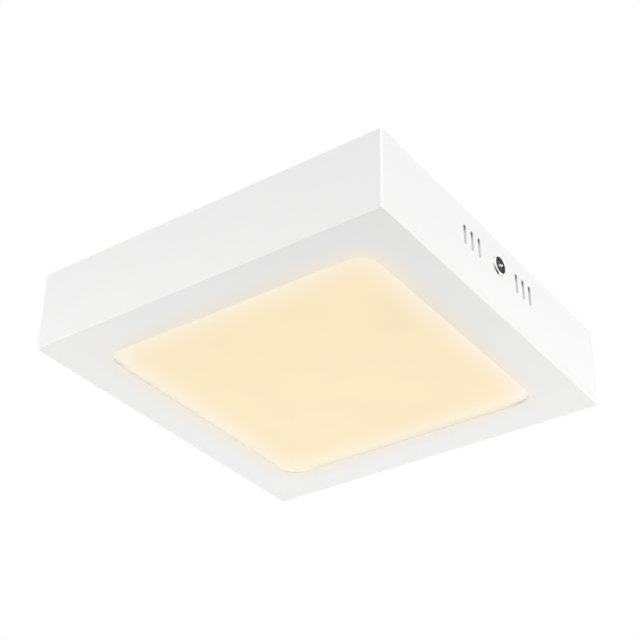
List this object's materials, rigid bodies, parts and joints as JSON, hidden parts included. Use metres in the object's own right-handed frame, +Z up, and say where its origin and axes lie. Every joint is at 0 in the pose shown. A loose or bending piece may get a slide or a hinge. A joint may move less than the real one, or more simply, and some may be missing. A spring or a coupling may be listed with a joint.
{
  "type": "led ceiling light",
  "caption": "Square surface-mounted LED ceiling light: white die-cast box with a recessed warm opal panel, vented sides, driver inside, and a ceiling bracket held by side screws.",
  "frame": {"origin": "middle of the ceiling plane, centred between the bracket's two ceiling slots", "axes": "+Z up into the ceiling, light shines towards -Z; +X and -X face the walls with vents and screws"},
  "size_m": [0.1722, 0.17, 0.037],
  "materials": {
    "white_powder_coat": "satin powder coat",
    "opal_sheet": "satin opal, lit from behind",
    "clear_acrylic": "polished clear",
    "white_film": "matte",
    "white_foam": "fine closed-cell foam",
    "strip_board": "white solder mask on aluminium",
    "led_package": "yellow phosphor",
    "aluminium_sheet": "mill finish",
    "zinc_steel": "zinc plated",
    "plated_screw": "zinc plated",
    "dark_screw": "dark nickel plated",
    "bright_washer": "nickel plated",
    "white_plastic": "fine moulded grain",
    "terminal_plastic": "satin nylon",
    "grey_tape": "foam tape",
    "green_board": "solder mask",
    "ferrite": "sintered",
    "yellow_tape": "polyester tape",
    "black_sleeve": "shrink sleeve",
    "film_case": "potted case",
    "fuse_coat": "flameproof coat",
    "black_epoxy": "moulded epoxy",
    "brass": "stamped",
    "brown_wire": "insulation",
    "blue_wire": "insulation",
    "earth_wire": "green insulation with a yellow stripe",
    "red_wire": "insulation",
    "black_wire": "insulation",
    "tinned_copper": "tinned",
    "black_rubber": "moulded"
  },
  "bodies": {
    "fixture": {"housing": "white_powder_coat", "diffuser": "opal_sheet", "light_guide": "clear_acrylic", "reflector_sheet": "white_film", "foam_sheet": "white_foam", "led_strip_right": "strip_board", "led_strip_back": "strip_board", "led_strip_left": "strip_board", "led_strip_front": "strip_board", "led_chips_right": "led_package", "led_chips_back": "led_package", "led_chips_left": "led_package", "led_chips_front": "led_package", "strip_links": "tinned_copper", "back_plate": "aluminium_sheet", "back_plate_screws": "plated_screw", "driver_tape": "grey_tape", "driver_case": "white_plastic", "driver_cover": "white_plastic", "driver_board": "green_board", "fuse_resistor": "fuse_coat", "film_capacitor": "film_case", "filter_choke": "ferrite", "input_capacitor": "black_sleeve", "output_capacitor": "black_sleeve", "transformer_core": "ferrite", "transformer_coil": "yellow_tape", "rectifier": "black_epoxy", "controller_chip": "black_epoxy", "terminal_block": "terminal_plastic", "terminal_contacts": "brass", "terminal_screws": "plated_screw", "earth_ring": "tinned_copper", "earth_washer": "bright_washer", "earth_screw": "plated_screw", "lead_bush": "black_rubber", "input_lead_live": "brown_wire", "input_lead_neutral": "blue_wire", "earth_lead": "earth_wire", "output_lead_positive": "red_wire", "output_lead_negative": "black_wire", "mounting_bracket": "zinc_steel"},
    "washer_right": {"side_washer_right": "bright_washer"},
    "screw_right": {"side_screw_right": "dark_screw"},
    "washer_left": {"side_washer_left": "bright_washer"},
    "screw_left": {"side_screw_left": "dark_screw"}
  },
  "joints": [
    {"name": "screw_right_travel", "type": "slide", "parent": "fixture", "child": "washer_right", "axis": [1, 0, 0], "range_m": [0, 0.0056]},
    {"name": "screw_right_turn", "type": "hinge", "parent": "washer_right", "child": "screw_right", "pos_m": [0.085, 0, -0.013], "axis": [1, 0, 0], "range_deg": [0, 2880]},
    {"name": "screw_left_travel", "type": "slide", "parent": "fixture", "child": "washer_left", "axis": [-1, 0, 0], "range_m": [0, 0.0056]},
    {"name": "screw_left_turn", "type": "hinge", "parent": "washer_left", "child": "screw_left", "pos_m": [-0.085, 0, -0.013], "axis": [-1, 0, 0], "range_deg": [0, 2880]}
  ],
  "couplings": [
    {"joint": "screw_right_turn", "follows": "screw_right_travel", "rad_per_m": 8976},
    {"joint": "screw_left_turn", "follows": "screw_left_travel", "rad_per_m": 8976}
  ]
}
